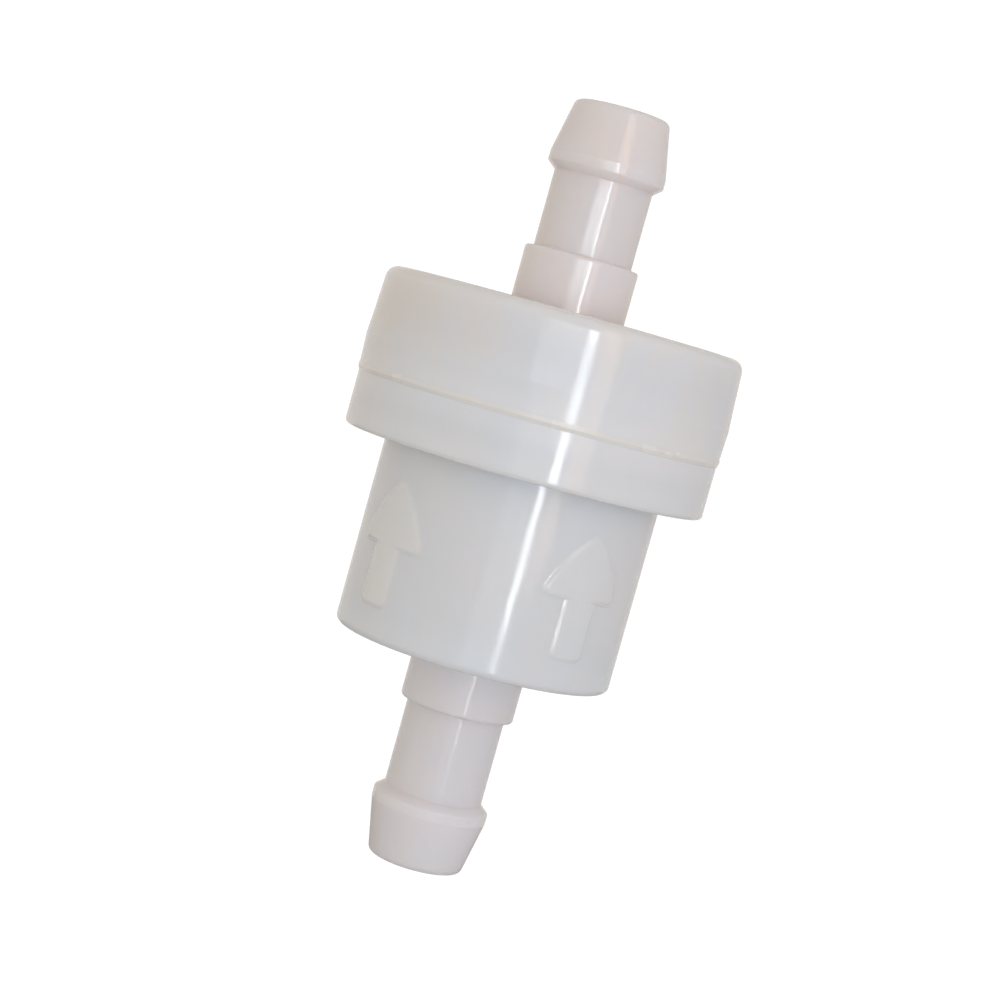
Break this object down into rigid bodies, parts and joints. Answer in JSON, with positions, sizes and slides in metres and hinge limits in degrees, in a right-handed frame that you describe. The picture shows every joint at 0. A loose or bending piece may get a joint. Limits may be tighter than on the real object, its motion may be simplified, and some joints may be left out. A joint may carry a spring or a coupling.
{
  "type": "inline fuel filter",
  "caption": "Milky nylon inline fuel filter: round bowl with a lower hose barb, wider welded cap with an upper barb, raised flow arrows, mesh strainer inside.",
  "frame": {"origin": "middle of the inlet barb's end face", "axes": "+Z along the flow, from the inlet barb up to the outlet barb; -Y is the side seen from the front, between the two flow arrows"},
  "size_m": [0.025, 0.025, 0.0521],
  "materials": {
    "natural_nylon": "glossy, milky, slightly translucent",
    "melted_nylon": "glossy, melted and set",
    "white_nylon": "satin moulded",
    "nylon_cloth": "plain square weave",
    "white_seal": "smooth, waxy"
  },
  "bodies": {
    "root": {"inlet_bowl": "natural_nylon", "outlet_cap": "natural_nylon", "weld_bead": "melted_nylon", "strainer_core": "white_nylon", "strainer_mesh": "nylon_cloth", "strainer_seat_ring": "white_nylon", "strainer_end_cap": "white_nylon", "seat_seal": "white_seal"}
  },
  "joints": []
}
